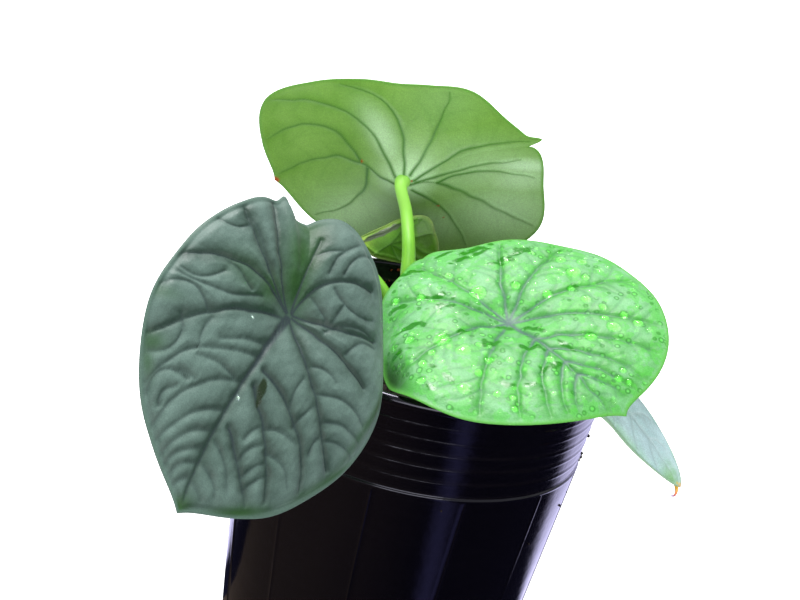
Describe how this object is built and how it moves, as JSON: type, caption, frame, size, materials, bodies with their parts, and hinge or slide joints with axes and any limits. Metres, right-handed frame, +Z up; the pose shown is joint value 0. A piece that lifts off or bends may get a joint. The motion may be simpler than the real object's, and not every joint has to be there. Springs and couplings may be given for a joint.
{
  "type": "potted alocasia chaii",
  "caption": "Small aroid house plant with broad, ribbed, drip-tipped leaves on round stems, growing from a ringed crown in dark potting soil, in a ridged black plastic nursery pot.",
  "frame": {"origin": "centre of the flat underside of the pot, on the surface it stands on", "axes": "+Z up along the pot's axis; -Y is the side seen from in the picture, with +X to its right"},
  "size_m": [0.1665, 0.1984, 0.188],
  "materials": {
    "pot": "thin black thermoformed plastic, glossy, finely scuffed",
    "soil": "moist dark potting mix with fine bark and orange-brown specks",
    "crown": "matte ringed rhizome with papery leaf scars",
    "stem": "smooth waxy yellow-green stem with fine lengthwise streaks",
    "grey_blade": "velvety grey-green quilted leaf face with darker veins",
    "pale_blade": "smooth light green underside with darker veins",
    "wet_blade": "bright mint green quilted leaf face, wet, with water drops",
    "silver_blade": "silvery blue-green leaf face with a greener margin"
  },
  "bodies": {
    "root": {"pot": "pot", "soil": "soil", "crown": "crown", "stem_left": "stem", "stem_back": "stem", "stem_right": "stem", "stem_hanging": "stem", "stem_young": "stem", "blade_left": "grey_blade", "blade_back": "pale_blade", "blade_right": "wet_blade", "blade_hanging": "silver_blade", "blade_young": "pale_blade"}
  },
  "joints": []
}
